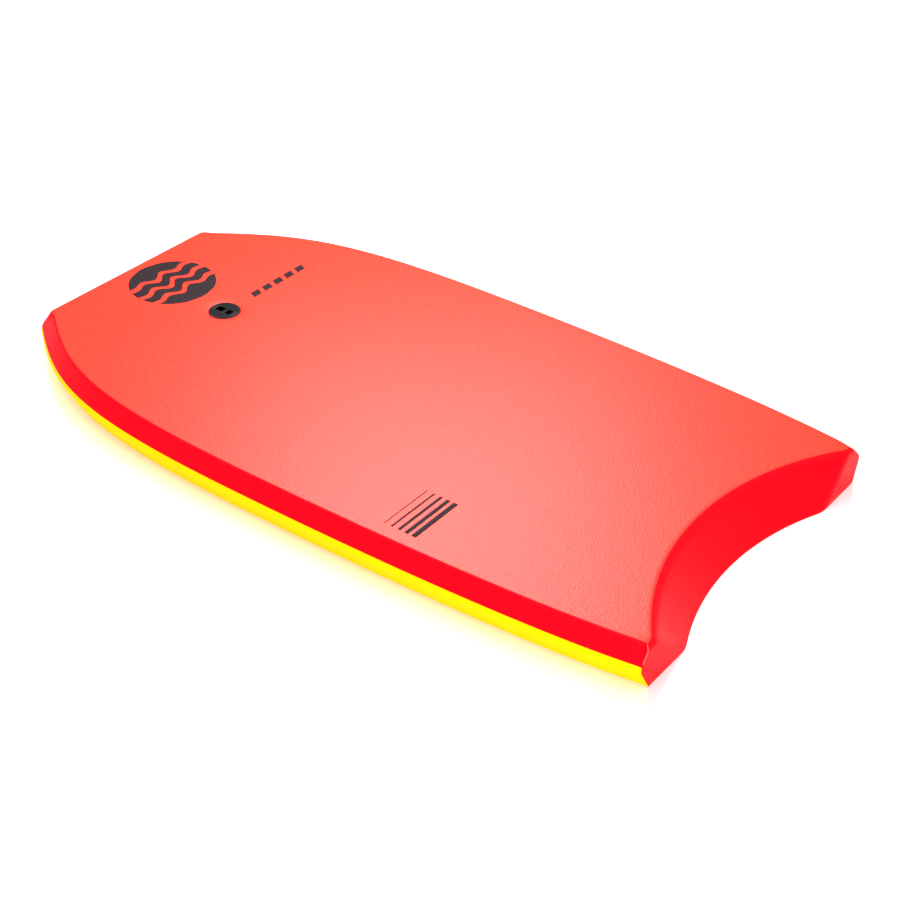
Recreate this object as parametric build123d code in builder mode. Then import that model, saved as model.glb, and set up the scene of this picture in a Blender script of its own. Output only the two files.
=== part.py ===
"""A crescent-tail bodyboard with 60/40 rails, built up in layers round a foam core.

Row frame, in millimetres: the board lies on its slick, +Y runs to the nose, +X to the rider's right
and +Z up through the deck. The origin is at mid-length and mid-width, on the floor under the slick.
"""

import os
from math import asin, cos, degrees, hypot, radians, sin, tan

from build123d import *

# ---- Overall sizes of the board, over its rails
board_length = 1016.0
board_width = 554.0
tail_width = 489.0
nose_width = 309.0
board_thickness = 54.0
wide_point_y = 50.0  # where the board is widest, measured from mid-length

# ---- Flow of the plan outline: the angles it runs at, and how far each curve holds its direction
tail_angle = 11.0
nose_angle = 36.5
tail_hold = 145.0
wide_hold_rear = 145.0
wide_hold_front = 280.0
nose_hold = 142.0
nose_corner_radius = 16.0

# ---- Section through the rail: widest line, seam between the two colours, deck crease, bottom edge
wide_line_height = 28.5
seam_height = 34.5
seam_inset = 2.0
crease_inset = 19.5
crease_inset_nose = 14.0
bottom_inset = 14.5
bottom_inset_nose = 6.0

# ---- Nose lift of the bottom
rocker_length = 438.0
rocker_rise = 8.0

# ---- Crescent tail: two flat tips with a leaning hollow between them
tip_width = 76.0
crescent_depth = 34.0
crescent_lean = 41.5  # how much further forward the hollow is at deck height
tip_lean = 4.0

# ---- Layers
deck_skin_thickness = 3.0
slick_thickness = 1.2
backing_thickness = 3.0
strip_depth = 4.0  # chine and rail strips, measured level with the deck
tail_strip_depth = 4.0  # measured along the board

# ---- Leash plug: two halves screwed together through the board
plug_y = 311.5
seat_depth = 0.5  # how far each flange's seat is let into the core
flange_radius = 21.5
flange_thickness = 3.0
flange_rounding = 0.8
stem_length = 19.0
stem_chamfer = 0.9
socket_wall = 2.3
thread_clearance = 0.15
plug_clearance = 0.3
cup_radius = 13.0
cup_width = 11.0
cup_wall = 1.8  # left between the corners of the cup and the outside of the stem
bar_width = 6.0
bar_height = 4.5
bar_rounding = 1.5
bar_sink = 0.4  # how far the bar lies below the face of the flange
bar_root = 1.0  # how far the bar runs into the wall at each end
groove_pitch = 2.4
groove_width = 1.0
groove_depth = 0.6
groove_rows = 5
rim_width = 1.6
spanner_hole_radius = 2.2
spanner_hole_depth = 1.8
spanner_hole_offset = 9.0

# ---- How far the cutting tools reach past the board, and the blanks past its tail
overrun = 6.0
tail_run_on = 30.0

half_length = board_length / 2
rocker_start = half_length - rocker_length
rocker_radius = (rocker_length**2 + rocker_rise**2) / (2 * rocker_rise)
half_bottom_tail = tail_width / 2 - bottom_inset
crescent_half_chord = half_bottom_tail - tip_width
crescent_radius = (crescent_half_chord**2 + crescent_depth**2) / (2 * crescent_depth)
flange_hole_radius = flange_radius + plug_clearance
top_seat = board_thickness - deck_skin_thickness - seat_depth
plug_top = top_seat + flange_thickness
stem_radius = hypot(cup_radius, cup_width / 2) + cup_wall
socket_radius = stem_radius + thread_clearance
core_bore_radius = socket_radius + socket_wall + plug_clearance


def bottom_height(y, lift=0.0):
    """Height of the bottom curve at y, or of a layer face that runs parallel to it, lift above it."""
    run = max(0.0, y - rocker_start)
    return rocker_radius - ((rocker_radius - lift) ** 2 - run**2) ** 0.5


def outline(height, inset, nose_inset):
    """The board's plan outline on the level plane at height, drawn in from the widest line."""
    tail_lean = radians(tail_angle)
    nose_lean = radians(nose_angle)
    tail_way = Vector(sin(tail_lean), cos(tail_lean))
    nose_way = Vector(-sin(nose_lean), cos(nose_lean))
    tail = Vector(tail_width / 2 - inset / cos(tail_lean), -half_length)
    wide = Vector(board_width / 2 - inset, wide_point_y)
    nose_x = nose_width / 2 - inset / cos(nose_lean) + nose_inset * tan(nose_lean)
    nose = Vector(nose_x, half_length - nose_inset)
    past_tail = tail - tail_way * tail_run_on
    with BuildSketch(Plane.XY.offset(height)) as plan:
        with BuildLine():
            Line(past_tail, tail)
            Bezier(tail, tail + tail_way * tail_hold, wide - Vector(0, wide_hold_rear), wide)
            Bezier(wide, wide + Vector(0, wide_hold_front), nose - nose_way * nose_hold, nose)
            mirror(about=Plane.YZ)
            Line(nose, Vector(-nose.X, nose.Y))
            Line(past_tail, Vector(-past_tail.X, past_tail.Y))
        make_face()
        fillet(plan.vertices().group_by(Axis.Y)[-1], radius=nose_corner_radius)
    return plan.sketch


def board_body(inset):
    """The space inside the rails, drawn in by inset. It runs past the deck, the bottom and the tail."""
    under = (wide_line_height + overrun) / wide_line_height
    over = (board_thickness + overrun - seam_height) / (board_thickness - seam_height)
    chine = crease_inset - seam_inset
    levels = [
        (-overrun, bottom_inset * under, bottom_inset_nose * under),
        (wide_line_height, 0.0, 0.0),
        (seam_height, seam_inset, 0.0),
        (board_thickness + overrun, seam_inset + chine * over, crease_inset_nose * over),
    ]
    sections = [outline(height, side + inset, nose + inset) for height, side, nose in levels]
    with BuildPart() as body:
        for lower, upper in zip(sections, sections[1:]):
            loft([lower, upper], ruled=True)
    return body.part


def layer(lift, top):
    """Everything from the bottom curve raised by lift, up to the level plane at top."""
    turn = degrees(asin((rocker_length + overrun) / rocker_radius))
    with BuildPart() as band:
        with BuildSketch(Plane.YZ):
            with BuildLine():
                start = (-half_length - 2 * tail_run_on, lift)
                flat = Line(start, (rocker_start, lift))
                centre = (rocker_start, rocker_radius)
                rise = CenterArc(centre, rocker_radius - lift, -90, turn)
                Polyline(rise @ 1, ((rise @ 1).X, top), (start[0], top), flat @ 0)
            make_face()
        extrude(amount=board_width, both=True)
    return band.part


def tail_cutter(setback):
    """Everything behind the tail face, with the face moved forward along the board by setback."""
    tail_y = -half_length + setback
    with BuildPart() as cutter:
        with BuildSketch(Plane.YZ):
            with BuildLine():
                low = Vector(tail_y - tip_lean * overrun / board_thickness, -overrun)
                high_y = tail_y + tip_lean * (1 + overrun / board_thickness)
                high = Vector(high_y, board_thickness + overrun)
                back = -half_length - 2 * tail_run_on
                Polyline(low, high, (back, high.Y), (back, low.Y), close=True)
            make_face()
        extrude(amount=board_width, both=True)
        lean = crescent_lean / board_thickness
        hollow_y = tail_y + crescent_depth - crescent_radius - lean * overrun
        with BuildSketch(Plane.XY.offset(-overrun)):
            with Locations((0, hollow_y)):
                Circle(crescent_radius)
        reach = (board_thickness + 2 * overrun) * hypot(lean, 1)
        extrude(amount=reach, dir=(0, lean, 1))
    return cutter.part


def plug_shaft(radius, low, high):
    """An upright cylinder on the leash plug's axis, from low to high."""
    with BuildPart() as shaft:
        with BuildSketch(Plane.XY.offset(low)):
            with Locations((0, plug_y)):
                Circle(radius)
        extrude(amount=high - low)
    return shaft.part


os.makedirs("parts", exist_ok=True)

whole_body = board_body(0.0)
inner_body = board_body(strip_depth)
behind_tail = tail_cutter(0.0)
behind_strip = tail_cutter(tail_strip_depth)
skin_top_layer = layer(0.0, board_thickness)
above_slick = layer(slick_thickness, board_thickness)
above_backing = layer(slick_thickness + backing_thickness, board_thickness)
deck_level = Plane.XY.offset(board_thickness)
core_top = Plane.XY.offset(board_thickness - deck_skin_thickness)
seam_level = Plane.XY.offset(seam_height)

# The under flange is level and the bottom rises to the nose, so its nose-side edge sets its seat.
deepest_backing = bottom_height(plug_y + flange_hole_radius, slick_thickness + backing_thickness)
under_seat = deepest_backing + seat_depth
plug_low = under_seat - flange_thickness
plug_axis = (0, plug_y)

stem_bore = plug_shaft(core_bore_radius, -overrun, board_thickness + overrun)
flange_bore = plug_shaft(flange_hole_radius, -overrun, board_thickness + overrun)
upper_recess = plug_shaft(flange_hole_radius, top_seat, board_thickness + overrun)
lower_recess = plug_shaft(flange_hole_radius, -overrun, under_seat)

# ---- Foam core: the blank that everything else is bonded to
with BuildPart() as foam_core:
    add(inner_body)
    add(above_backing, mode=Mode.INTERSECT)
    split(bisect_by=core_top, keep=Keep.BOTTOM)
    add(behind_strip, mode=Mode.SUBTRACT)
    add(stem_bore, mode=Mode.SUBTRACT)
    add(upper_recess, mode=Mode.SUBTRACT)
    add(lower_recess, mode=Mode.SUBTRACT)
foam_core.part.label = "foam_core"
export_step(foam_core.part, "parts/foam_core.step")

# ---- Deck skin: textured foam sheet, let in round the plug's upper flange
with BuildPart() as deck_skin:
    add(inner_body)
    add(skin_top_layer, mode=Mode.INTERSECT)
    split(bisect_by=core_top, keep=Keep.TOP)
    add(behind_strip, mode=Mode.SUBTRACT)
    add(flange_bore, mode=Mode.SUBTRACT)
deck_skin.part.label = "deck_skin"
export_step(deck_skin.part, "parts/deck_skin.step")

# ---- Slick: hard plastic sheet over the whole bottom, up to the tail strip
with BuildPart() as bottom_slick:
    add(whole_body)
    add(skin_top_layer, mode=Mode.INTERSECT)
    add(above_slick, mode=Mode.SUBTRACT)
    add(behind_strip, mode=Mode.SUBTRACT)
    add(flange_bore, mode=Mode.SUBTRACT)
bottom_slick.part.label = "bottom_slick"
export_step(bottom_slick.part, "parts/bottom_slick.step")

# ---- Slick backing: the foam sheet that bonds the slick to the core
with BuildPart() as slick_backing:
    add(inner_body)
    add(above_slick, mode=Mode.INTERSECT)
    add(above_backing, mode=Mode.SUBTRACT)
    add(behind_strip, mode=Mode.SUBTRACT)
    add(flange_bore, mode=Mode.SUBTRACT)
slick_backing.part.label = "slick_backing"
export_step(slick_backing.part, "parts/slick_backing.step")

# ---- Tail strip: covers both tips and the hollow, over the full height of the board
with BuildPart() as tail_strip:
    add(whole_body)
    add(skin_top_layer, mode=Mode.INTERSECT)
    add(behind_strip, mode=Mode.INTERSECT)
    add(behind_tail, mode=Mode.SUBTRACT)
tail_strip.part.label = "tail_strip"
export_step(tail_strip.part, "parts/tail_strip.step")

# ---- Edge bands: the chine above the seam and the rail below it, all round from tail to tail
with BuildPart() as chine_band:
    add(whole_body)
    add(inner_body, mode=Mode.SUBTRACT)
    split(bisect_by=deck_level, keep=Keep.BOTTOM)
    split(bisect_by=seam_level, keep=Keep.TOP)
    add(behind_strip, mode=Mode.SUBTRACT)

with BuildPart() as rail_band:
    add(whole_body)
    add(inner_body, mode=Mode.SUBTRACT)
    add(above_slick, mode=Mode.INTERSECT)
    split(bisect_by=seam_level, keep=Keep.BOTTOM)
    add(behind_strip, mode=Mode.SUBTRACT)

# Each band is mitred at the nose corners. The mitre halves the corner between the nose and the rail.
mitre_turn = (90 - nose_angle) / 2
mitres = {
    side: Plane(
        origin=(sign * nose_width / 2, half_length, 0),
        x_dir=(0, 0, 1),
        z_dir=(sign * cos(radians(mitre_turn)), -sin(radians(mitre_turn)), 0),
    )
    for side, sign in (("left", -1), ("right", 1))
}

for band_name, band in (("chine", chine_band.part), ("rail", rail_band.part)):
    for side, mitre in mitres.items():
        with BuildPart() as side_strip:
            add(band)
            split(bisect_by=Plane.YZ, keep=Keep.TOP if side == "right" else Keep.BOTTOM)
            split(bisect_by=mitre, keep=Keep.TOP)
        side_strip.part.label = f"{side}_{band_name}_strip"
        export_step(side_strip.part, f"parts/{side}_{band_name}_strip.step")
    with BuildPart() as nose_strip:
        add(band)
        split(bisect_by=mitres["left"], keep=Keep.BOTTOM)
        split(bisect_by=mitres["right"], keep=Keep.BOTTOM)
    nose_strip.part.label = f"nose_{band_name}_strip"
    export_step(nose_strip.part, f"parts/nose_{band_name}_strip.step")

# ---- Leash plug, upper half: grooved flange, and a stem with a round-bottomed cup that a bar crosses
with BuildPart() as leash_plug_top:
    with BuildSketch(Plane.XY.offset(top_seat)):
        with Locations(plug_axis):
            Circle(flange_radius)
    extrude(amount=flange_thickness)
    fillet(leash_plug_top.edges().group_by(Axis.Z)[-1], radius=flange_rounding)
    with BuildSketch(Plane.XY.offset(top_seat)):
        with Locations(plug_axis):
            Circle(stem_radius)
    extrude(amount=-stem_length)
    chamfer(leash_plug_top.edges().group_by(Axis.Z)[0], length=stem_chamfer)
    with BuildSketch(Plane.YZ):
        with Locations((plug_y, plug_top)):
            Circle(cup_radius)
    extrude(amount=cup_width / 2, both=True, mode=Mode.SUBTRACT)
    with BuildSketch(Plane.YZ):
        with Locations((plug_y, plug_top - bar_sink - bar_height / 2)):
            RectangleRounded(bar_width, bar_height, bar_rounding)
    extrude(amount=cup_width / 2 + bar_root, both=True)
    with BuildSketch(Plane.XY.offset(plug_top)):
        for side in (-1, 1):
            for row in range(groove_rows):
                groove_x = cup_width / 2 + rim_width + groove_width / 2 + row * groove_pitch
                with Locations((side * groove_x, plug_y)):
                    Rectangle(groove_width, 2 * flange_radius)
        with Locations(plug_axis):
            Circle(flange_radius - rim_width, mode=Mode.INTERSECT)
    extrude(amount=-groove_depth, mode=Mode.SUBTRACT)
leash_plug_top.part.label = "leash_plug_top"
export_step(leash_plug_top.part, "parts/leash_plug_top.step")

# ---- Leash plug, lower half: flange under the board, and the socket that the stem screws into
with BuildPart() as leash_plug_bottom:
    with BuildSketch(Plane.XY.offset(under_seat)):
        with Locations(plug_axis):
            Circle(flange_radius)
    extrude(amount=-flange_thickness)
    fillet(leash_plug_bottom.edges().group_by(Axis.Z)[0], radius=flange_rounding)
    with BuildSketch(Plane.XY.offset(under_seat)):
        with Locations(plug_axis):
            Circle(socket_radius + socket_wall)
            Circle(socket_radius, mode=Mode.SUBTRACT)
    extrude(amount=top_seat - plug_clearance - under_seat)
    with BuildSketch(Plane.XY.offset(plug_low)):
        with Locations((-spanner_hole_offset, plug_y), (spanner_hole_offset, plug_y)):
            Circle(spanner_hole_radius)
    extrude(amount=spanner_hole_depth, mode=Mode.SUBTRACT)
leash_plug_bottom.part.label = "leash_plug_bottom"
export_step(leash_plug_bottom.part, "parts/leash_plug_bottom.step")
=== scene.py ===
# %% [markdown]
# # A bodyboard
#
# A bodyboard is a sandwich of soft foams: a red textured sheet on top, a hard slick sheet underneath, and
# strips welded round the edge. This lesson builds each of those skins as a surface worked out with numpy.
# The board's measured solids are loaded first and stay as they are, so each skin has a place to go.

# %% Load the measured solids
from math import cos, pi, radians, sin, tan

import bpy
import numpy as np
from mathutils import Matrix, Vector


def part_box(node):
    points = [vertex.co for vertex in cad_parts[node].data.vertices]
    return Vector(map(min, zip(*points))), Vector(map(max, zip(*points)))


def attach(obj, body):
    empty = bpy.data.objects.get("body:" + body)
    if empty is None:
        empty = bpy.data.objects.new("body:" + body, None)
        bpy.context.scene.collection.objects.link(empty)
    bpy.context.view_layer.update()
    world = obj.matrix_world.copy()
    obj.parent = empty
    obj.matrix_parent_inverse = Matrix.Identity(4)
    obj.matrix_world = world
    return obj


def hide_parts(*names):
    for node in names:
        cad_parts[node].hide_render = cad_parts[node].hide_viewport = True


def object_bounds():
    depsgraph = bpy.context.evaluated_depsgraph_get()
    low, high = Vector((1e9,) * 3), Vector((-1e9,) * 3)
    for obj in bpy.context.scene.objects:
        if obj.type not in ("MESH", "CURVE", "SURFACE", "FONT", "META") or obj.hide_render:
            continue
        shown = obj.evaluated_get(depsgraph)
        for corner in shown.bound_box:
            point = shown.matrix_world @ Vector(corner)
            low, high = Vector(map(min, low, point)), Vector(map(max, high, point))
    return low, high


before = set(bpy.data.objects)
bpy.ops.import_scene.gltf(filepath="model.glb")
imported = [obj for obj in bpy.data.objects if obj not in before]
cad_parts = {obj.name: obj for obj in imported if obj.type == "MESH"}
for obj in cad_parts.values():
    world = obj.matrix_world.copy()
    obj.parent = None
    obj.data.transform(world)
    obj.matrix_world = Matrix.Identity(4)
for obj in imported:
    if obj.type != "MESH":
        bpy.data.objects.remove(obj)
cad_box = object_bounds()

mm = 0.001
low, high = cad_box
length = high.y - low.y
thickness = high.z
print("solids:", len(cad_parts), "length", round(length, 3), "thickness", round(thickness, 3))

# %% [markdown]
# ## Camera
#
# The view is from the left of the tail, a little over a third of the way up from level. A long lens keeps
# the two long edges nearly parallel. The camera comes first, because every later choice is judged through it.

# %% Camera
camera_azimuth = radians(-52.777)
camera_elevation = radians(34.864)
camera_roll = radians(0.413)
camera_distance = 2.1726
camera_target = Vector((-0.0182, -0.0920, 0.0))

back = Vector((
    sin(camera_azimuth) * cos(camera_elevation),
    -cos(camera_azimuth) * cos(camera_elevation),
    sin(camera_elevation),
))
lens = bpy.data.cameras.new("studio_camera")
lens.lens = 69.49
lens.clip_end = 50
camera = bpy.data.objects.new("studio_camera", lens)
bpy.context.collection.objects.link(camera)
turn = back.to_track_quat("Z", "Y").to_matrix().to_4x4() @ Matrix.Rotation(camera_roll, 4, "Z")
camera.matrix_world = Matrix.Translation(camera_target + back * camera_distance) @ turn
bpy.context.scene.camera = camera
print("camera at", [round(value, 3) for value in camera.matrix_world.translation])

# %% [markdown]
# ## Rounded edges as formulas
#
# Foam edges are soft, so no two faces of the board meet in a sharp line. Three small formulas do all of
# the rounding: one bends a flat into a slope, one is its inverse, and one joins two slopes. A Bevel
# modifier would also round them, but a formula keeps neighbouring skins in step along their shared line.


# %% Rounding formulas
def ease_into_slope(run, reach):
    """Zero before -reach, run itself after +reach, and a parabola between them that touches both."""
    middle = (run + reach) ** 2 / (4 * reach)
    return np.where(run < -reach, 0.0, np.where(run > reach, run, middle))


def slope_from_ease(rise, reach):
    """The run at which ease_into_slope gives this rise."""
    return np.where(rise > reach, rise, 2 * np.sqrt(np.maximum(rise, 0) * reach) - reach)


def soft_max(a, b, reach):
    """The larger of a and b, with the corner between them rounded over reach."""
    near = np.maximum(reach - np.abs(a - b), 0) / reach
    return np.maximum(a, b) + near**2 * reach / 4


def quarter_round(depth, radius):
    """How far a quarter circle of this radius stands in from the corner, at a depth below the face."""
    inside = np.clip(radius - depth, 0, radius)
    return radius - np.sqrt(radius**2 - inside**2)


print("a 4 mm ease lifts", round(float(ease_into_slope(0.0, 4.0)), 2), "mm at its middle")

# %% [markdown]
# ## The plan outline
#
# Seen from above, the widest line of the rails is two smooth curves a side: one from the tail to the wide
# point and one from there to the nose. The corner to the straight nose is a third, short curve. The line is
# worked out once, with the direction that points outwards at every station, and all edge strips follow it.

# %% Plan outline
half_width = high.x
half_length = length / 2
tail_half_width = 244.5 * mm
nose_half_width = 154.5 * mm
wide_point_y = 50 * mm
tail_angle = radians(11.0)
nose_angle = radians(36.5)
tail_hold, wide_hold_rear, wide_hold_front, nose_hold = 145 * mm, 145 * mm, 280 * mm, 142 * mm
nose_corner_radius = 30 * mm
nose_corner_turn = pi / 2 - nose_angle
curve_stations, corner_stations, nose_stations = 90, 24, 30


def bezier(start, start_handle, end_handle, end, count):
    """Points of a cubic curve: the four controls weighted by the cubic's terms in t from 0 to 1."""
    t = np.linspace(0, 1, count)[:, None]
    controls = [np.asarray(point, float) for point in (start, start_handle, end_handle, end)]
    weights = [(1 - t) ** 3, 3 * t * (1 - t) ** 2, 3 * t**2 * (1 - t), t**3]
    return sum(weight * control for weight, control in zip(weights, controls))


def plan_outline():
    """The widest line from the right of the tail round the nose to the left, with its outward directions."""
    tail_way = np.array([sin(tail_angle), cos(tail_angle)])
    nose_way = np.array([-sin(nose_angle), cos(nose_angle)])
    tail = np.array([tail_half_width, -half_length])
    wide = np.array([half_width, wide_point_y])
    nose = np.array([nose_half_width, half_length])
    rear = bezier(tail, tail + tail_way * tail_hold, wide - [0, wide_hold_rear], wide, curve_stations)
    front = bezier(wide, wide + [0, wide_hold_front], nose - nose_way * nose_hold, nose, curve_stations)
    cut = nose_corner_radius * tan(nose_corner_turn / 2)
    front = front[np.hypot(*(front - nose).T) > cut]
    handle = 4 / 3 * tan(nose_corner_turn / 4) * nose_corner_radius
    flat = nose - [cut, 0]
    corner = bezier(front[-1], front[-1] + nose_way * handle, flat + [handle, 0], flat, corner_stations)
    straight = np.linspace(flat, [0, half_length], nose_stations)
    right = np.vstack([rear, front[1:], corner[1:], straight[1:]])
    line = np.vstack([right, right[-2::-1] * [-1, 1]])
    way = np.gradient(line, axis=0)
    way /= np.linalg.norm(way, axis=1)[:, None]
    return line, np.column_stack([way[:, 1], -way[:, 0]])


widest_line, outward = plan_outline()
middle = len(widest_line) // 2
turned = np.clip((outward[:, 1] - sin(nose_angle)) / (1 - sin(nose_angle)), 0, 1)
nose_share = turned**2 * (3 - 2 * turned)  # 0 along the rails, 1 along the nose
print("outline stations:", len(widest_line), "half width", round(widest_line[:, 0].max(), 4))

# %% [markdown]
# ## The section through the rail
#
# A 60/40 rail is widest a little below mid-height. Above the colour seam a red chine leans in to the deck;
# below it the yellow rail leans in to the slick. The same section is carried all the way round, but at the
# nose it is steeper, so each inset is a blend of a rail value and a nose value.

# %% Rail section
wide_line_z = 28.5 * mm
seam_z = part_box("left_chine_strip")[0].z
rail_insets = {"seam": 2.0 * mm, "crease": 19.5 * mm, "bottom": 14.5 * mm}
nose_insets = {"seam": 0.0, "crease": 14.0 * mm, "bottom": 6.0 * mm}
inset = {
    name: rail + nose_share * (nose_insets[name] - rail)
    for name, rail in rail_insets.items()
}
crease_reach = 3.0 * mm
apex_reach = 3.0 * mm
bottom_round = 1.6 * mm

rocker_length = 438 * mm
rocker_rise = 8 * mm
rocker_start = half_length - rocker_length
rocker_radius = (rocker_length**2 + rocker_rise**2) / (2 * rocker_rise)


def rocker(y):
    """Height of the bottom: zero up to rocker_start, then the arc of a large circle up to the nose."""
    run = np.maximum(y - rocker_start, 0)
    return rocker_radius - np.sqrt(rocker_radius**2 - run**2)


def chine_fall(crease, seam):
    """How steeply the chine falls: its height over its width in plan."""
    return (thickness - seam_z) / (crease - seam)


def chine_inset(z, crease, seam):
    """Inset of the chine at height z: the slope from the seam to the crease, eased into the deck."""
    return crease - slope_from_ease((thickness - z) / chine_fall(crease, seam), crease_reach)


def rail_inset(z, seam, bottom):
    """Inset of the rail at height z: two slopes that meet in a soft widest line."""
    upper = seam * (z - wide_line_z) / (seam_z - wide_line_z)
    lower = bottom * (wide_line_z - z) / wide_line_z
    return soft_max(upper, lower, apex_reach)


def on_outline(level, z):
    """Points at an inset from the widest line, measured along the outward directions, at height z."""
    plan = widest_line[:, None, :] - outward[:, None, :] * level[:, :, None]
    return np.dstack([plan, z])


print("seam at", round(seam_z * 1000, 1), "mm")
print("crease", round(rail_insets["crease"] * 1000, 1), "mm in from the widest line")

# %% [markdown]
# ## The crescent tail
#
# Two flat tips stand nearly upright and a hollow runs between them. The hollow is a slice of a cylinder
# that leans forward as it rises, so it widens towards the deck. Taking the softer larger of the tip plane
# and the cylinder gives both faces and the crease between them in one formula, y from x and z.

# %% Tail face
crescent_depth = 34 * mm
crescent_lean = 41.5 * mm
tip_lean = 4 * mm
tip_width = 76 * mm
tail_edge_radius = 8 * mm
tail_wrap = radians(24)  # how far round the edge the deck sheet reaches before the tail strip takes over
tail_foot_radius = 1.5 * mm
tip_crease_reach = 4 * mm
half_chord = tail_half_width - rail_insets["bottom"] - tip_width
crescent_radius = (half_chord**2 + crescent_depth**2) / (2 * crescent_depth)


def tail_face(x, z):
    """Where the tail's face lies along y: the leaning cylinder or the tip plane, with rounded edges."""
    rise = z / thickness
    centre = -half_length + crescent_depth - crescent_radius + crescent_lean * rise
    hollow = centre + np.sqrt(crescent_radius**2 - x**2)
    tip = -half_length + tip_lean * rise
    edges = quarter_round(thickness - z, tail_edge_radius) + quarter_round(z, tail_foot_radius)
    return soft_max(hollow, tip, tip_crease_reach) + edges


def corner_x(z):
    """Half width of the tail at height z, where the edge strips end on the tip plane."""
    upper = chine_inset(z, rail_insets["crease"], rail_insets["seam"])
    lower = rail_inset(z, rail_insets["seam"], rail_insets["bottom"])
    level = np.where(z > seam_z, upper, lower)
    lean = tip_lean * z / thickness + quarter_round(thickness - z, tail_edge_radius)
    return tail_half_width - level / cos(tail_angle) + lean * tan(tail_angle)


print("hollow radius", round(crescent_radius * 1000), "mm")

# %% [markdown]
# ## From arrays to pieces
#
# A grid of points becomes a mesh with one quad per cell. Solidify then gives each skin its real thickness
# inwards, which also closes it. Near the two tail corners, where the hot welds shrink, the sheets sink a
# little. Every piece rides on the board's one body.


# %% Mesh helpers
skin_wall = 2.4 * mm  # of every foam skin
corner_drop = 2.0 * mm
corner_spread = 15 * mm
tail_corner = Vector((tail_half_width - rail_insets["crease"], -half_length))


def settle(points):
    """Lowers points near the tail corners: a Gaussian in plan times the square of the height."""
    away = np.hypot(np.abs(points[:, 0]) - tail_corner.x, points[:, 1] - tail_corner.y) / corner_spread
    share = (points[:, 2] / thickness).clip(0, 1) ** 2
    return points - np.outer(corner_drop * np.exp(-(away**2)) * share, [0, 0, 1])


def grid_faces(rows, columns):
    """Quads of a grid whose vertices run along the columns first."""
    corner = np.arange((rows - 1) * columns).reshape(rows - 1, columns)[:, :-1].ravel()
    return np.column_stack([corner, corner + 1, corner + columns + 1, corner + columns])


def make_piece(name, points, faces, wall=0.0, flip=False, caps=()):
    """A smooth piece from points, quads and end caps, thickened inwards by wall, riding on the board."""
    points = settle(np.asarray(points, float).reshape(-1, 3))
    quads = np.asarray(faces, int).tolist()
    faces = [tuple(reversed(face) if flip else face) for face in quads] + list(caps)
    mesh = bpy.data.meshes.new(name)
    mesh.from_pydata(points, [], faces)
    mesh.polygons.foreach_set("use_smooth", np.ones(len(faces), bool))
    mesh.update()
    piece = bpy.data.objects.new(name, mesh)
    bpy.context.collection.objects.link(piece)
    if wall:
        solid = piece.modifiers.new("wall", "SOLIDIFY")
        solid.thickness = wall
        solid.offset = -1
        solid.use_even_offset = True
    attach(piece, "root")
    print(name, len(points), "points", len(faces), "faces")
    return piece


# %% [markdown]
# ## Deck and slick panels
#
# Both big panels are the same kind of sheet: four soft borders, and a round hole for the leash plug. Columns
# run across and rows along the board, closer together near the borders where the sheet curves. Round the
# hole, a square of cells is taken out and rings of quads lead from its border to the circle.

# %% Panel builder
plug_low, plug_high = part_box("leash_plug_top")
plug_y = (plug_low.y + plug_high.y) / 2
plug_radius = (plug_high.x - plug_low.x) / 2
plug_gap = 0.3 * mm
hole_radius = plug_radius + plug_gap
window = 52 * mm  # half the width of the square of cells round the plug that rings replace
flat_tolerance = 0.01 * mm
settling_steps = 6


def half_width_at(level):
    """Half width of the outline at an inset, and its outward lean, as functions of y up to the nose."""
    plan = (widest_line - outward * level[:, None])[: middle + 1]
    nose_y = plan[-1, 1]
    last = int(np.argmax(plan[:, 1] > nose_y - flat_tolerance)) + 1
    y, x, lean = plan[:last, 1], plan[:last, 0], outward[:last, 0]
    return nose_y, lambda at: np.interp(at, y, x), lambda at: np.interp(at, y, lean)


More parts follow.
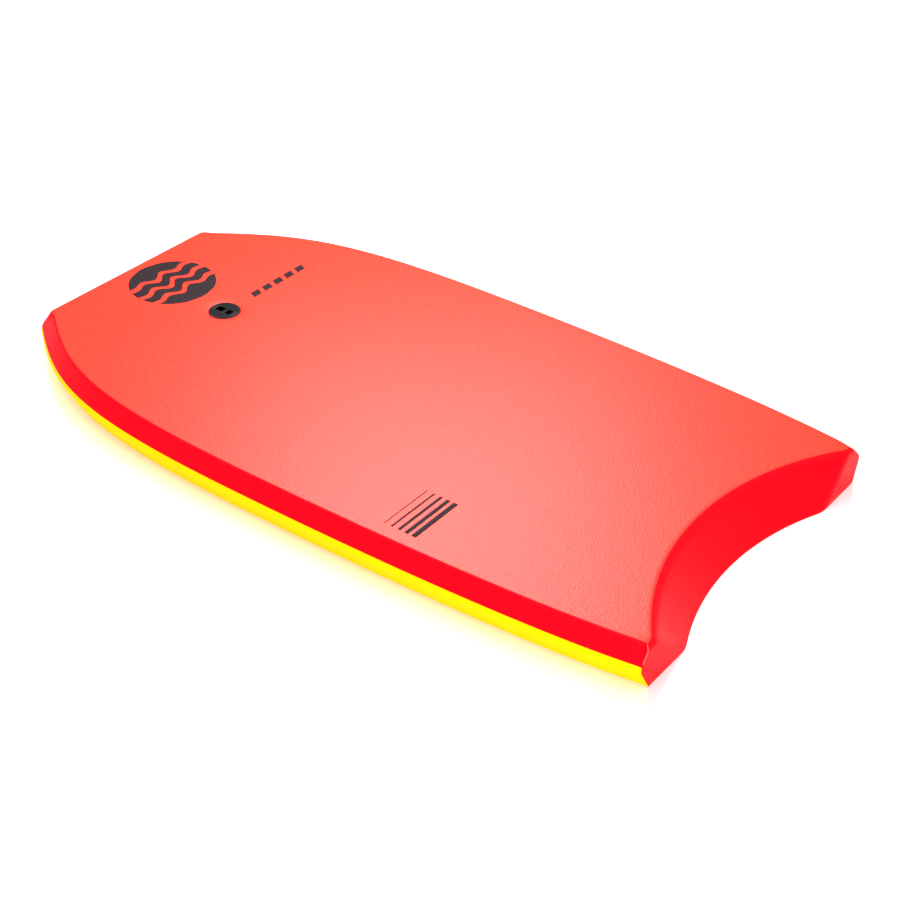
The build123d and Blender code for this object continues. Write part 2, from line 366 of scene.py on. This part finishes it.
def panel(level, tail_y, height, wall_rings=14, columns=48, rows=64):
    """Points and quads of a sheet inside the outline at an inset, from tail_y(x) to the nose, with a hole.

    A row's tail end sets its width and the width sets the tail end, so the two are settled in a few steps.
    The powers crowd the columns, the rows and the rings where the sheet curves.
    """
    nose_y, width, lean = half_width_at(level)
    across = 1 - (np.arange(columns + 1) / columns) ** 2.2
    across = np.concatenate([-across, across[-2::-1]])
    along = 0.5 * (np.arange(rows + 1) / rows) ** 2
    along = np.concatenate([along, 1 - along[-2::-1]])
    start = np.full(across.shape, -half_length)
    for _ in range(settling_steps):
        start = tail_y(across * width(start))
    y = start + along[:, None] * (nose_y - start)
    x = across * width(y)
    border = np.minimum((width(y) - np.abs(x)) * lean(y), nose_y - y)
    sheet = np.dstack([x, y, height(x, y, border)])

    near_x = np.flatnonzero(np.abs(across * width(np.array(plug_y))) < window)
    near_y = np.flatnonzero(np.abs(y[:, columns] - plug_y) < window)
    left, right, bottom, top = near_x[0], near_x[-1], near_y[0], near_y[-1]
    index = np.arange(y.size).reshape(y.shape)
    inside = np.zeros(y.shape, bool)
    inside[bottom:top, left:right] = True
    faces = grid_faces(*y.shape)
    faces = faces[~inside.ravel()[faces[:, 0]]]
    loop = np.concatenate([
        index[bottom, left:right],
        index[bottom:top, right],
        index[top, right:left:-1],
        index[top:bottom:-1, left],
    ])
    points = sheet.reshape(-1, 3)
    ring = points[loop, :2] - [0, plug_y]
    ring_angle = np.arctan2(ring[:, 1], ring[:, 0])
    circle = hole_radius * np.column_stack([np.cos(ring_angle), np.sin(ring_angle)])
    share = ((np.arange(wall_rings) / wall_rings) ** 1.6)[:, None, None]
    flat = circle + share * (ring - circle) + [0, plug_y]
    patch = np.dstack([flat, height(flat[..., 0], flat[..., 1], np.full(flat.shape[:2], window))])
    rings = np.vstack([len(points) + np.arange(wall_rings * len(loop)).reshape(wall_rings, -1), loop])
    inner, outer = rings[:-1], rings[1:]
    collar = np.dstack([inner, outer, np.roll(outer, -1, axis=1), np.roll(inner, -1, axis=1)]).reshape(-1, 4)
    return np.vstack([points, patch.reshape(-1, 3)]), np.vstack([faces, collar])


# %% [markdown]
# ## Deck skin
#
# The deck is a heat-laminated foam sheet. It is flat where the rider lies, rolls over soft edges into the
# chine and the tail, and is drawn down a little round the leash plug, where the plug's flange clamps it.

# %% Deck skin
deck_edge_depth = tail_edge_radius * (1 - cos(tail_wrap))
chine_lap = 1.2 * mm  # how far the chine strip laps over the crease on to the deck
dimple_depth = 1.5 * mm
dimple_reach = 5 * mm
round_depths = np.linspace(0, tail_edge_radius, 60)
round_runs = quarter_round(round_depths, tail_edge_radius) - round_depths * crescent_lean / thickness


def deck_height(x, y, border):
    """The flat deck less the deeper of its falls to the chine and the tail, and less a dimple at the plug."""
    fall = chine_fall(rail_insets["crease"], rail_insets["seam"])
    side = fall * ease_into_slope(-border - chine_lap, crease_reach)
    sharp_edge = tail_face(x, np.full_like(x, thickness)) - tail_edge_radius
    tail = np.interp(sharp_edge - y, -round_runs, round_depths)
    from_plug = np.hypot(x, y - plug_y) - hole_radius
    dimple = dimple_depth * np.exp(-np.maximum(from_plug, 0) / dimple_reach)
    return thickness - np.maximum(side, tail) - dimple


deck_points, deck_quads = panel(
    inset["crease"] + chine_lap,
    lambda x: tail_face(x, np.full_like(x, thickness - deck_edge_depth)),
    deck_height,
)
deck_skin = make_piece("deck_skin_sheet", deck_points, deck_quads, wall=skin_wall)
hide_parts("deck_skin")

# %% [markdown]
# ## Slick
#
# The slick is the hard, slippery sheet that planes on the water. It follows the rocker, which lifts the
# nose, and its border turns up into the rail.

# %% Slick
slick_wall = 1.1 * mm
slick_margin = 0.2 * mm
slick_tail_z = 0.4 * mm
slick_level = inset["bottom"] * (1 - rocker(widest_line[:, 1]) / wide_line_z) + slick_margin


def slick_height(x, y, border):
    """The rocker line, turned up by a quarter circle at the border."""
    return rocker(y) + quarter_round(border, bottom_round)


slick_points, slick_quads = panel(
    slick_level,
    lambda x: tail_face(x, np.full_like(x, slick_tail_z)) + slick_margin,
    slick_height,
)
bottom_sheet = make_piece("bottom_slick_sheet", slick_points, slick_quads, wall=slick_wall, flip=True)
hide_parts("bottom_slick")

# %% [markdown]
# ## Chine and rail strips
#
# Each strip is the section carried along its part of the outline. Where two strips meet, their edges curl
# in by half a millimetre, which leaves the fine groove of a weld. Both ends stop on the tail's tip plane.

# %% Strips
weld_groove = 0.5 * mm
groove_reach = 1.2 * mm
end_trim = 2  # stations left out at each end, so the slid end never folds back over its neighbour
chine_rows, rail_rows = 34, 26
chine_crowding = 1.4  # crowds the chine's rows towards the crease, where it curves


def carry_section(heights, levels):
    """The strip's points: heights and insets for each station, with both ends slid on to the tip plane."""
    points = on_outline(levels, heights)[end_trim:-end_trim]
    for end, step in ((0, 1), (-1, -1)):
        first, second = points[end + step], points[end + 2 * step]
        z = first[:, 2]
        depth = np.maximum(thickness - z, deck_edge_depth)
        plane = -half_length + tip_lean * z / thickness + quarter_round(depth, tail_edge_radius)
        along = (plane - first[:, 1]) / (second[:, 1] - first[:, 1])
        points[end] = first + (second - first) * along[:, None]
        points[end, :, 1] = plane
    return points


def curl(z, edge):
    """How far a strip's edge stands in, falling away from a weld at height edge."""
    return weld_groove * np.clip(1 - np.abs(z - edge) / groove_reach, 0, 1) ** 2


def strip_pieces(name, points):
    """Cuts a carried section into its right, nose and left strips at the nose corners."""
    corner = int(np.argmax(nose_share > 0.5)) - end_trim
    spans = {
        "right": slice(0, corner + 1),
        "nose": slice(corner, len(points) - corner),
        "left": slice(len(points) - corner - 1, len(points)),
    }
    made = []
    for side, span in spans.items():
        part = points[span]
        piece = make_piece(f"{side}_{name}_skin", part, grid_faces(*part.shape[:2]), wall=skin_wall)
        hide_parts(f"{side}_{name}_strip")
        made.append(piece)
    return made


fall = chine_fall(inset["crease"], inset["seam"])[:, None]
edge_depth = fall * ease_into_slope(-chine_lap, crease_reach)
chine_share = np.linspace(0, 1, chine_rows) ** chine_crowding
chine_z = thickness - edge_depth - chine_share * (thickness - edge_depth - seam_z)
chine_level = chine_inset(chine_z, inset["crease"][:, None], inset["seam"][:, None])
chine_level = chine_level + curl(chine_z, seam_z)
chine_pieces = strip_pieces("chine", carry_section(chine_z, chine_level))

rail_foot = rocker(widest_line[:, 1])[:, None] + bottom_round
rail_share = np.linspace(0, 1, rail_rows)
rail_z = seam_z - rail_share * (seam_z - rail_foot)
rail_level = rail_inset(rail_z, inset["seam"][:, None], inset["bottom"][:, None]) + curl(rail_z, seam_z)
rail_pieces = strip_pieces("rail", carry_section(rail_z, rail_level))

# %% [markdown]
# ## Tail strip
#
# One red strip covers the hollow and both tips. Rows go down the face and columns across it, and the last
# columns lie on the ends of the edge strips.

# %% Tail strip
top_rounding, foot_rounding, upright_rows, tail_columns = 14, 6, 20, 161
round_angle = np.linspace(tail_wrap, pi / 2, top_rounding)
top_rows = thickness - tail_edge_radius * (1 - np.cos(round_angle))
foot_rows = tail_foot_radius * (1 - np.sin(np.linspace(0, pi / 2, foot_rounding)))
middle_rows = np.linspace(top_rows[-1], foot_rows[0], upright_rows)[1:-1]
tail_z = np.concatenate([top_rows, middle_rows, foot_rows])
across = np.linspace(-1, 1, tail_columns)
tail_x = across * corner_x(tail_z)[:, None]
tail_height = np.broadcast_to(tail_z[:, None], tail_x.shape)
tail_points = np.dstack([tail_x, tail_face(tail_x, tail_height), tail_height])
tail_skin = make_piece("tail_strip_skin", tail_points, grid_faces(*tail_x.shape), wall=skin_wall, flip=True)
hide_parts("tail_strip")

# %% [markdown]
# ## Weld beads at the tail corners
#
# Where a chine strip meets the tail strip, the hot weld leaves a thin proud bead. It is a small tube carried
# up the corner edge, from the colour seam to the deck.

# %% Weld beads
bead_radius = 0.8 * mm
bead_sink = 0.5 * mm  # how far the bead's middle stands in from both faces
bead_start = 1.0 * mm  # above the colour seam
bead_rows = 30


def tube(path, radius, sides=12):
    """A closed tube: a circle at each point of the path, square to it, drawn in towards both ends."""
    way = np.gradient(path, axis=0)
    way /= np.linalg.norm(way, axis=1)[:, None]
    side = np.cross(way, [0.0, 1.0, 0.0])
    side /= np.linalg.norm(side, axis=1)[:, None]
    up = np.cross(side, way)
    turn = np.linspace(0, 2 * pi, sides, endpoint=False)[None, :, None]
    swell = radius * np.sqrt(1.04 - np.linspace(-1, 1, len(path)) ** 6)[:, None, None]
    rings = path[:, None] + swell * (np.cos(turn) * side[:, None] + np.sin(turn) * up[:, None])
    ring, spoke = np.divmod(grid_faces(len(path), sides + 1), sides + 1)
    last = (len(path) - 1) * sides
    caps = [tuple(range(sides)), tuple(range(last + sides - 1, last - 1, -1))]
    return rings, ring * sides + spoke % sides, caps


bead_z = np.linspace(seam_z + bead_start, thickness - deck_edge_depth, bead_rows)
bead_x = corner_x(bead_z) - bead_sink
bead_y = tail_face(bead_x, bead_z) + bead_sink
weld_beads = []
for side_name, sign in (("right", 1), ("left", -1)):
    rings, quads, caps = tube(np.column_stack([sign * bead_x, bead_y, bead_z]), bead_radius)
    bead = make_piece(f"{side_name}_weld_bead", rings, quads, flip=True, caps=caps)
    weld_beads.append(bead)

# %% [markdown]
# ## Printed marks
#
# Boards carry printed marks on the deck. These are plain ones: a round badge cut by three open waves, a row
# of dashes and a few stripes. Ink is a film, so each mark is a thin sheet laid just on the foam.

# %% Printed marks
ink_wall = 0.15 * mm


def print_mark(name, x, y):
    """A film of ink over a grid of plan points, lifted from the deck by its own thickness."""
    z = deck_height(x, y, np.full(x.shape, window)) + ink_wall
    return make_piece(name, np.dstack([x, y, z]), grid_faces(*x.shape), wall=ink_wall)


def wavy_band(low_level, high_level, radius, swell):
    """A band across a circle between two levels, with both borders swelling as one sine wave."""
    level = np.linspace(low_level, high_level, 8)[:, None] * radius
    x = np.linspace(-1, 1, 70) * np.sqrt(radius**2 - level**2)
    return x, level + swell * np.sin(3 * pi * x / radius) * (1 - (x**2 + level**2) / radius**2)


badge_x, badge_y, badge_radius = 11 * mm, 420 * mm, 60 * mm
badge_swell = 7 * mm
badge_levels = ((-0.995, -0.46), (-0.32, -0.06), (0.08, 0.34), (0.48, 0.995))  # in badge radii
ink_pieces = []
for number, (low_level, high_level) in enumerate(badge_levels):
    band_x, band_y = wavy_band(low_level, high_level, badge_radius, badge_swell)
    ink_pieces.append(print_mark(f"badge_band_{number}", badge_x + band_x, badge_y + band_y))

dash_count, dash_start_x, dash_start_y = 5, 50 * mm, 303 * mm
dash_length, dash_height, dash_pitch, dash_slant = 15 * mm, 12 * mm, 22 * mm, 5 * mm
for number in range(dash_count):
    dash_x, dash_y = np.meshgrid(np.linspace(0, dash_length, 6), np.linspace(0, dash_height, 4))
    dash_x = dash_x + dash_slant * dash_y / dash_height + dash_start_x + number * dash_pitch
    ink_pieces.append(print_mark(f"deck_dash_{number}", dash_x, dash_y + dash_start_y))

stripe_count, stripe_start_x, stripe_start_y = 5, -234 * mm, -158 * mm
stripe_length, stripe_pitch = 78 * mm, 11 * mm
for number in range(stripe_count):
    stripe_width = (1.4 + 1.3 * number) * mm  # each stripe is wider than the last
    stripe_x, stripe_y = np.meshgrid(np.linspace(0, stripe_length, 24), np.linspace(0, stripe_width, 3))
    stripe_x, stripe_y = stripe_x + stripe_start_x, stripe_y + stripe_start_y - number * stripe_pitch
    ink_pieces.append(print_mark(f"tail_stripe_{number}", stripe_x, stripe_y))
print("printed marks:", len(ink_pieces))

# %% [markdown]
# ## Finishes
#
# Every finish starts from what the material is. Colours are written as screen hex codes and one function
# turns them into the linear values that light works in. One more function adds a shader node with its
# settings and its links.


# %% Colour and node helpers
def screen_colour(code):
    """Linear red, green, blue and alpha from a hex code: the sRGB curve undone channel by channel."""
    value = np.array([int(code[i : i + 2], 16) for i in (1, 3, 5)]) / 255
    linear = np.where(value <= 0.04045, value / 12.92, ((value + 0.055) / 1.055) ** 2.4)
    return (*linear.tolist(), 1.0)


def add_node(tree, kind, values=None, links=None, **settings):
    """Adds a node: settings are its own properties, values fill its sockets and links feed them."""
    made = tree.nodes.new(kind)
    for key, value in settings.items():
        setattr(made, key, value)
    for socket, value in (values or {}).items():
        made.inputs[socket].default_value = value
    for socket, source in (links or {}).items():
        tree.links.new(source, made.inputs[socket])
    return made


def new_finish(name):
    """An empty material and its node tree."""
    material = bpy.data.materials.new(name)
    material.use_nodes = True
    material.node_tree.nodes.clear()
    return material, material.node_tree


def wear(material, *pieces):
    """Gives a finish to pieces."""
    for piece in pieces:
        piece.data.materials.clear()
        piece.data.materials.append(material)


# %% [markdown]
# ### Embossed deck foam
#
# The deck sheet is cross-linked polyethylene foam, pressed against an embossing roller while warm. The
# roller leaves a skin of shallow pebbles about two millimetres across, so light spreads widely and the
# deck never mirrors anything.

# %% Deck foam
pebble_size = 2.0 * mm
mottle_size = 9 * mm

deck_foam, tree = new_finish("embossed_xpe_foam_red")
place = add_node(tree, "ShaderNodeTexCoord").outputs["Object"]
pebble_scale = {"Scale": 1 / pebble_size}
pebbles = add_node(tree, "ShaderNodeTexVoronoi", pebble_scale, {"Vector": place}, feature="SMOOTH_F1")
mottle = add_node(tree, "ShaderNodeTexNoise", {"Scale": 1 / mottle_size, "Detail": 4.0}, {"Vector": place})
parts = {0: pebbles.outputs["Distance"], 1: mottle.outputs["Fac"]}
shade = add_node(tree, "ShaderNodeMath", None, parts, operation="MULTIPLY")
tint = add_node(tree, "ShaderNodeValToRGB", None, {"Fac": shade.outputs[0]})
tint.color_ramp.elements[0].color = screen_colour("#F21A00")
tint.color_ramp.elements[1].color = screen_colour("#FF2D00")
tint.color_ramp.elements[0].position = 0.05
tint.color_ramp.elements[1].position = 0.45
height = pebbles.outputs["Distance"]
grain = add_node(tree, "ShaderNodeBump", {"Strength": 0.9, "Distance": 0.4 * mm}, {"Height": height})
surface = add_node(
    tree, "ShaderNodeBsdfPrincipled",
    {"Roughness": 0.45, "Specular IOR Level": 0.36, "IOR": 1.5},
    {"Base Color": tint.outputs["Color"], "Normal": grain.outputs["Normal"]},
)
add_node(tree, "ShaderNodeOutputMaterial", None, {"Surface": surface.outputs[0]})
wear(deck_foam, deck_skin)
print("deck foam with", pebble_size * 1000, "mm pebbles")

# %% [markdown]
# ### Smooth edge foam
#
# The chine, rail and tail strips are the same foam with a smooth heat-sealed skin. The colour is deep and
# even, and the skin has a low, broad sheen. A faint unevenness stands for the foam's cells under the skin.

# %% Edge foam
cell_size = 1.6 * mm
drift_size = 40 * mm
cell_relief = {"Strength": 0.25, "Distance": 0.1 * mm}


def edge_foam(name, colour, deep_colour, gloss, roughness=0.42):
    """A smooth closed-cell foam in two close shades of one colour."""
    material, tree = new_finish(name)
    place = add_node(tree, "ShaderNodeTexCoord").outputs["Object"]
    cells = add_node(tree, "ShaderNodeTexNoise", {"Scale": 1 / cell_size, "Detail": 3.0}, {"Vector": place})
    drift = add_node(tree, "ShaderNodeTexNoise", {"Scale": 1 / drift_size, "Detail": 2.0}, {"Vector": place})
    tint = add_node(tree, "ShaderNodeValToRGB", None, {"Fac": drift.outputs["Fac"]})
    tint.color_ramp.elements[0].color = screen_colour(deep_colour)
    tint.color_ramp.elements[1].color = screen_colour(colour)
    skin = add_node(tree, "ShaderNodeBump", cell_relief, {"Height": cells.outputs["Fac"]})
    surface = add_node(
        tree, "ShaderNodeBsdfPrincipled",
        {"Roughness": roughness, "Specular IOR Level": gloss, "IOR": 1.5},
        {"Base Color": tint.outputs["Color"], "Normal": skin.outputs["Normal"]},
    )
    add_node(tree, "ShaderNodeOutputMaterial", None, {"Surface": surface.outputs[0]})
    return material


chine_foam = edge_foam("heat_sealed_pe_foam_red", "#FF0018", "#F40012", 0.05)
rail_foam = edge_foam("heat_sealed_pe_foam_yellow", "#FFCC00", "#FFC500", 0.02, 0.65)
tail_foam = edge_foam("hot_wiped_pe_foam_red", "#FF0016", "#F40010", 0.06)
# The weld beads are painted a paler red than the foam: a painted highlight along the tail corners, on
# modelled beads.
painted_highlight_weld_foam = edge_foam("weld_red_painted_highlight", "#FF5048", "#FF3A34", 0.4)
wear(chine_foam, *chine_pieces)
wear(tail_foam, tail_skin)
wear(rail_foam, *rail_pieces)
wear(painted_highlight_weld_foam, *weld_beads)
print("edge foam in red and yellow")

# %% [markdown]
# ### Slick sheet, ink and plug
#
# The slick is extruded HDPE: glossy, with very faint drag lines along the board from the extruder's lips.
# The ink is matt. The plug is moulded ABS, with the fine spark-eroded texture of its mould. Its colour holds
# painted shade: near-black down in the grooves and a little paler on the ridges, set by height alone.

# %% Slick, ink and plug
drag_pitch = 1.5 * mm
drag_stretch = 0.02  # the lines are fifty times as long as they are wide
drag_relief = {"Strength": 0.15, "Distance": 0.05 * mm}

slick_plastic, tree = new_finish("extruded_hdpe_yellow")
place = add_node(tree, "ShaderNodeTexCoord").outputs["Object"]
drag_scale = {"Scale": (1 / drag_pitch, drag_stretch / drag_pitch, 1.0)}
squeeze = add_node(tree, "ShaderNodeMapping", drag_scale, {"Vector": place}).outputs["Vector"]
lines = add_node(tree, "ShaderNodeTexNoise", {"Scale": 1.0, "Detail": 3.0}, {"Vector": squeeze})
drag = add_node(tree, "ShaderNodeBump", drag_relief, {"Height": lines.outputs["Fac"]})
shade = add_node(tree, "ShaderNodeValToRGB", None, {"Fac": lines.outputs["Fac"]})
shade.color_ramp.elements[0].color = screen_colour("#F6D800")
shade.color_ramp.elements[1].color = screen_colour("#FFE700")
surface = add_node(
    tree, "ShaderNodeBsdfPrincipled", {"Roughness": 0.22, "IOR": 1.54},
    {"Base Color": shade.outputs["Color"], "Normal": drag.outputs["Normal"]},
)
add_node(tree, "ShaderNodeOutputMaterial", None, {"Surface": surface.outputs[0]})
wear(slick_plastic, bottom_sheet)


speckle_strength = 0.4


def speckled(name, colour, dark_colour, speck_size, depth, roughness, gloss):
    """A finish with fine speckle: noise at speck_size drives both the shade and a bump of this depth."""
    material, tree = new_finish(name)
    place = add_node(tree, "ShaderNodeTexCoord").outputs["Object"]
    specks = add_node(tree, "ShaderNodeTexNoise", {"Scale": 1 / speck_size, "Detail": 4.0}, {"Vector": place})
    shade = add_node(tree, "ShaderNodeValToRGB", None, {"Fac": specks.outputs["Fac"]})
    shade.color_ramp.elements[0].color = screen_colour(dark_colour)
    shade.color_ramp.elements[1].color = screen_colour(colour)
    bump = {"Strength": speckle_strength, "Distance": depth}
    relief = add_node(tree, "ShaderNodeBump", bump, {"Height": specks.outputs["Fac"]})
    surface = add_node(
        tree, "ShaderNodeBsdfPrincipled", {"Roughness": roughness, "Specular IOR Level": gloss},
        {"Base Color": shade.outputs["Color"], "Normal": relief.outputs["Normal"]},
    )
    add_node(tree, "ShaderNodeOutputMaterial", None, {"Surface": surface.outputs[0]})
    return material


plug_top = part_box("leash_plug_top")[1].z
groove_depth = 0.6 * mm
spark_size = 0.7 * mm
spark_relief = {"Strength": speckle_strength, "Distance": 0.05 * mm}

moulded_abs, tree = new_finish("moulded_abs_black")
place = add_node(tree, "ShaderNodeTexCoord").outputs["Object"]
# Painted shade: the colour darkens with depth below the plug's top, so the grooves read black and the ridges
# paler.
height = add_node(tree, "ShaderNodeSeparateXYZ", None, {"Vector": place}).outputs["Z"]
span = {"From Min": plug_top - 0.7 * groove_depth, "From Max": plug_top - 0.2 * groove_depth}
painted_groove_shade = add_node(tree, "ShaderNodeMapRange", span, {"Value": height})
shade = add_node(tree, "ShaderNodeValToRGB", None, {"Fac": painted_groove_shade.outputs["Result"]})
shade.color_ramp.elements[0].color = screen_colour("#040304")
shade.color_ramp.elements[1].color = screen_colour("#1E1B1E")
sparks = add_node(tree, "ShaderNodeTexNoise", {"Scale": 1 / spark_size, "Detail": 4.0}, {"Vector": place})
relief = add_node(tree, "ShaderNodeBump", spark_relief, {"Height": sparks.outputs["Fac"]})
surface = add_node(
    tree, "ShaderNodeBsdfPrincipled", {"Roughness": 0.4, "Specular IOR Level": 0.12},
    {"Base Color": shade.outputs["Color"], "Normal": relief.outputs["Normal"]},
)
add_node(tree, "ShaderNodeOutputMaterial", None, {"Surface": surface.outputs[0]})

charcoal_ink = speckled("screen_ink_charcoal", "#2A2024", "#1C1417", 0.8 * mm, 0.03 * mm, 0.6, 0.08)
bead_foam = speckled("moulded_eps_white", "#F4F4F0", "#DCDCD6", 4 * mm, 0.4 * mm, 0.8, 0.5)
wear(charcoal_ink, *ink_pieces)
wear(moulded_abs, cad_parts["leash_plug_top"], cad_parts["leash_plug_bottom"])
wear(bead_foam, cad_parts["foam_core"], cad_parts["slick_backing"])
print("slick, ink, plug and core finishes")

# %% [markdown]
# ## Studio
#
# The board lies on a sheet of white acrylic that glows a little from below. The floor is part scattered
# light and part reflection, so it shows a soft, pale mirror of the rails. A wide overhead panel lights
# everything softly. A low softbox off the left of the tail fills the rail, and one above the far side of the
# board gives the deck its broad highlight.

# %% Floor
floor_half = 9
mirror_share = 0.36
corners = [(-floor_half, -floor_half, 0), (floor_half, -floor_half, 0)]
corners += [(floor_half, floor_half, 0), (-floor_half, floor_half, 0)]

floor_mesh = bpy.data.meshes.new("studio_floor")
floor_mesh.from_pydata(corners, [], [(0, 1, 2, 3)])
floor = bpy.data.objects.new("studio_floor", floor_mesh)
bpy.context.collection.objects.link(floor)
acrylic, tree = new_finish("studio_white_acrylic")
scatter = add_node(tree, "ShaderNodeBsdfDiffuse", {"Color": (0.8, 0.8, 0.8, 1.0)})
mirror = add_node(tree, "ShaderNodeBsdfAnisotropic", {"Color": (1.0, 1.0, 1.0, 1.0), "Roughness": 0.035})
both = {1: scatter.outputs[0], 2: mirror.outputs[0]}
blend = add_node(tree, "ShaderNodeMixShader", {0: mirror_share}, both)
glow = add_node(tree, "ShaderNodeEmission", {"Color": (1.0, 1.0, 1.0, 1.0), "Strength": 0.24})
total = add_node(tree, "ShaderNodeAddShader", None, {0: blend.outputs[0], 1: glow.outputs[0]})
add_node(tree, "ShaderNodeOutputMaterial", None, {"Surface": total.outputs[0]})
wear(acrylic, floor)
print("floor", 2 * floor_half, "m across")

# %% Lights and background
world = bpy.data.worlds.new("studio_world")
world.use_nodes = True
background = world.node_tree.nodes["Background"]
background.inputs["Color"].default_value = (1.0, 1.0, 1.0, 1.0)
background.inputs["Strength"].default_value = 0.7
bpy.context.scene.world = world
bpy.context.scene.view_settings.view_transform = "Standard"


def softbox(name, place, target, size, power):
    """A square area light of this size at a place, facing a target."""
    light = bpy.data.lights.new(name, "AREA")
    light.shape = "SQUARE"
    light.size = size
    light.energy = power
    box = bpy.data.objects.new(name, light)
    way = Vector(place) - Vector(target)
    box.matrix_world = Matrix.Translation(place) @ way.to_track_quat("Z", "Y").to_matrix().to_4x4()
    box.visible_camera = False
    bpy.context.collection.objects.link(box)


sky = bpy.data.lights.new("overhead_panel", "SUN")
sky.energy = 2.0
sky.angle = radians(50)
bpy.context.collection.objects.link(bpy.data.objects.new("overhead_panel", sky))
softbox("rail_softbox", (-1.5, -1.1, 0.29), (-0.24, -0.25, 0.03), size=0.5, power=11)
softbox("sheen_softbox", (0.39, 0.263, 0.87), (-0.2, -0.15, 0.05), size=0.665, power=17.5)
print("studio lit")
